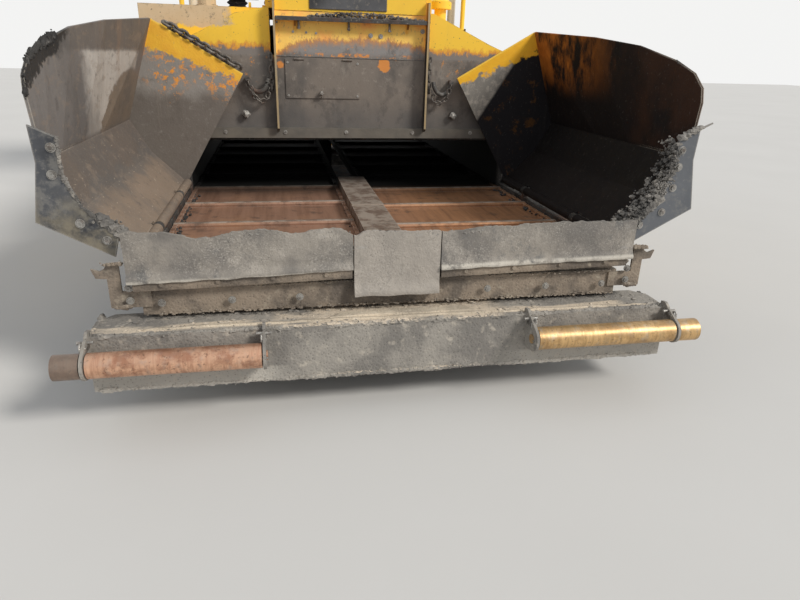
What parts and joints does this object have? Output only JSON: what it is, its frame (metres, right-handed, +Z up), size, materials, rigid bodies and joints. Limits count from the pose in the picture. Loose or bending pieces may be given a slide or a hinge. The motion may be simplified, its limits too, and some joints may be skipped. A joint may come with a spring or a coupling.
{
  "type": "asphalt paver",
  "caption": "Tracked asphalt paver with a front hopper, folding wings, push beam, slat conveyor, augers, canopy and a towed extending screed.",
  "frame": {"origin": "on the ground, in the middle of the machine's length and width", "axes": "+X to the picture's right across the machine, -Y the way it drives, +Z up"},
  "size_m": [3.04, 6.5119, 3.62],
  "materials": {
    "frame_steel": "worn satin",
    "worn_steel": "abraded by asphalt",
    "caked_steel": "caked with old asphalt",
    "slat_steel": "rusty and polished by asphalt",
    "flange_steel": "chipped blue-grey",
    "yellow_paint": "weathered gloss",
    "roof_paint": "weathered gloss",
    "engine_iron": "painted casting",
    "exhaust_steel": "heat stained",
    "deck_plate": "non-slip",
    "track_rubber": "scuffed pads",
    "apron_rubber": "caked with old asphalt",
    "roller_steel": "rolled bright under rust",
    "chain_steel": "rusty",
    "rod_chrome": "oiled",
    "seat_cover": "padded vinyl",
    "console_plastic": "grained"
  },
  "bodies": {
    "tractor": {"main_frame": "frame_steel", "crossmember": "caked_steel", "apron": "apron_rubber", "conveyor": "slat_steel", "chain_cover": "slat_steel", "rear_wall": "worn_steel", "cowl": "yellow_paint", "side_box_left": "yellow_paint", "side_box_right": "yellow_paint", "engine_block": "engine_iron", "exhaust": "exhaust_steel", "platform": "deck_plate", "guard_rails": "yellow_paint", "canopy": "roof_paint", "track_frames": "frame_steel", "track_left": "track_rubber", "track_right": "track_rubber", "auger_box": "frame_steel", "chains": "chain_steel"},
    "wing_left": {"wing_left": "worn_steel", "wing_plate_left": "flange_steel"},
    "wing_right": {"wing_right": "worn_steel", "wing_plate_right": "flange_steel"},
    "wing_barrel_left": {"wing_barrel_left": "yellow_paint"},
    "wing_barrel_right": {"wing_barrel_right": "yellow_paint"},
    "wing_rod_left": {"wing_rod_left": "rod_chrome"},
    "wing_rod_right": {"wing_rod_right": "rod_chrome"},
    "push_beam": {"push_beam": "caked_steel"},
    "push_roller_left": {"push_roller_left": "roller_steel"},
    "push_roller_right": {"push_roller_right": "roller_steel"},
    "hood": {"hood": "yellow_paint"},
    "door_left": {"door_left": "yellow_paint"},
    "door_right": {"door_right": "yellow_paint"},
    "seat_left": {"seat_left": "seat_cover"},
    "seat_right": {"seat_right": "seat_cover"},
    "console": {"console": "console_plastic"},
    "auger_left": {"auger_left": "worn_steel"},
    "auger_right": {"auger_right": "worn_steel"},
    "screed": {"screed": "yellow_paint", "tow_arms": "yellow_paint"},
    "extension_left": {"extension_left": "yellow_paint", "end_gate_left": "yellow_paint"},
    "extension_right": {"extension_right": "yellow_paint", "end_gate_right": "yellow_paint"},
    "lift_barrel_left": {"lift_barrel_left": "yellow_paint"},
    "lift_barrel_right": {"lift_barrel_right": "yellow_paint"},
    "lift_rod_left": {"lift_rod_left": "rod_chrome"},
    "lift_rod_right": {"lift_rod_right": "rod_chrome"}
  },
  "joints": [
    {"name": "wing_fold_left", "type": "hinge", "parent": "tractor", "child": "wing_left", "pos_m": [-1.05, -2.92, 0.68], "axis": [0, 1, 0], "range_deg": [0, 50]},
    {"name": "wing_barrel_swing_left", "type": "hinge", "parent": "tractor", "child": "wing_barrel_left", "pos_m": [-1.15, -2.22, 0.33], "axis": [0, 1, 0], "range_deg": [0, 16.98]},
    {"name": "wing_rod_slide_left", "type": "slide", "parent": "wing_barrel_left", "child": "wing_rod_left", "axis": [-0.251, 0, 0.968], "range_m": [0, 0.12731]},
    {"name": "wing_fold_right", "type": "hinge", "parent": "tractor", "child": "wing_right", "pos_m": [1.05, -2.92, 0.68], "axis": [0, -1, 0], "range_deg": [0, 50]},
    {"name": "wing_barrel_swing_right", "type": "hinge", "parent": "tractor", "child": "wing_barrel_right", "pos_m": [1.15, -2.22, 0.33], "axis": [0, -1, 0], "range_deg": [0, 16.98]},
    {"name": "wing_rod_slide_right", "type": "slide", "parent": "wing_barrel_right", "child": "wing_rod_right", "axis": [0.251, 0, 0.968], "range_m": [0, 0.12731]},
    {"name": "push_beam_swing", "type": "hinge", "parent": "tractor", "child": "push_beam", "pos_m": [0, -2.82, 0.29], "axis": [0, 0, 1], "range_deg": [-6, 6]},
    {"name": "push_roller_spin_left", "type": "hinge", "parent": "push_beam", "child": "push_roller_left", "pos_m": [-0.9, -3.2, 0.33], "axis": [1, 0, 0], "continuous": true},
    {"name": "push_roller_spin_right", "type": "hinge", "parent": "push_beam", "child": "push_roller_right", "pos_m": [0.9, -3.2, 0.33], "axis": [1, 0, 0], "continuous": true},
    {"name": "hood_open", "type": "hinge", "parent": "tractor", "child": "hood", "pos_m": [0, -1.261, 1.959], "axis": [1, 0, 0], "range_deg": [0, 50]},
    {"name": "door_open_left", "type": "hinge", "parent": "tractor", "child": "door_left", "pos_m": [-1.2963, -0.456, 1.3], "axis": [0, 0, 1], "range_deg": [0, 100]},
    {"name": "door_open_right", "type": "hinge", "parent": "tractor", "child": "door_right", "pos_m": [1.2963, -0.456, 1.3], "axis": [0, 0, -1], "range_deg": [0, 100]},
    {"name": "seat_swivel_left", "type": "hinge", "parent": "tractor", "child": "seat_left", "pos_m": [-0.8, 1.23, 1.7], "axis": [0, 0, 1], "range_deg": [-60, 60]},
    {"name": "seat_swivel_right", "type": "hinge", "parent": "tractor", "child": "seat_right", "pos_m": [0.8, 1.23, 1.7], "axis": [0, 0, 1], "range_deg": [-60, 60]},
    {"name": "console_slide", "type": "slide", "parent": "tractor", "child": "console", "axis": [1, 0, 0], "range_m": [-0.35, 0.35]},
    {"name": "auger_spin_left", "type": "hinge", "parent": "tractor", "child": "auger_left", "pos_m": [-0.6, 1.61, 0.43], "axis": [1, 0, 0], "continuous": true},
    {"name": "auger_spin_right", "type": "hinge", "parent": "tractor", "child": "auger_right", "pos_m": [0.6, 1.61, 0.43], "axis": [1, 0, 0], "continuous": true},
    {"name": "screed_lift", "type": "hinge", "parent": "tractor", "child": "screed", "pos_m": [0, -1.855, 0.56], "axis": [1, 0, 0], "range_deg": [0, 6]},
    {"name": "extension_slide_left", "type": "slide", "parent": "screed", "child": "extension_left", "axis": [-1, 0, 0], "range_m": [0, 0.75]},
    {"name": "extension_slide_right", "type": "slide", "parent": "screed", "child": "extension_right", "axis": [1, 0, 0], "range_m": [0, 0.75]},
    {"name": "lift_barrel_swing_left", "type": "hinge", "parent": "tractor", "child": "lift_barrel_left", "pos_m": [-0.7, 1.58, 1.45], "axis": [1, 0, 0], "range_deg": [0, 12.14]},
    {"name": "lift_rod_slide_left", "type": "slide", "parent": "lift_barrel_left", "child": "lift_rod_left", "axis": [0, 0.3927, -0.9197], "range_m": [-0.36204, 0]},
    {"name": "lift_barrel_swing_right", "type": "hinge", "parent": "tractor", "child": "lift_barrel_right", "pos_m": [0.7, 1.58, 1.45], "axis": [1, 0, 0], "range_deg": [0, 12.14]},
    {"name": "lift_rod_slide_right", "type": "slide", "parent": "lift_barrel_right", "child": "lift_rod_right", "axis": [0, 0.3927, -0.9197], "range_m": [-0.36204, 0]}
  ],
  "couplings": [
    {"joint": "wing_barrel_swing_left", "follows": "wing_fold_left", "ratio": 0.33931},
    {"joint": "wing_rod_slide_left", "follows": "wing_fold_left", "m_per_rad": 0.14578},
    {"joint": "wing_barrel_swing_right", "follows": "wing_fold_right", "ratio": 0.33931},
    {"joint": "wing_rod_slide_right", "follows": "wing_fold_right", "m_per_rad": 0.14578},
    {"joint": "lift_barrel_swing_left", "follows": "screed_lift", "ratio": 2.0223},
    {"joint": "lift_rod_slide_left", "follows": "screed_lift", "m_per_rad": -3.4563},
    {"joint": "lift_barrel_swing_right", "follows": "screed_lift", "ratio": 2.0223},
    {"joint": "lift_rod_slide_right", "follows": "screed_lift", "m_per_rad": -3.4563}
  ]
}
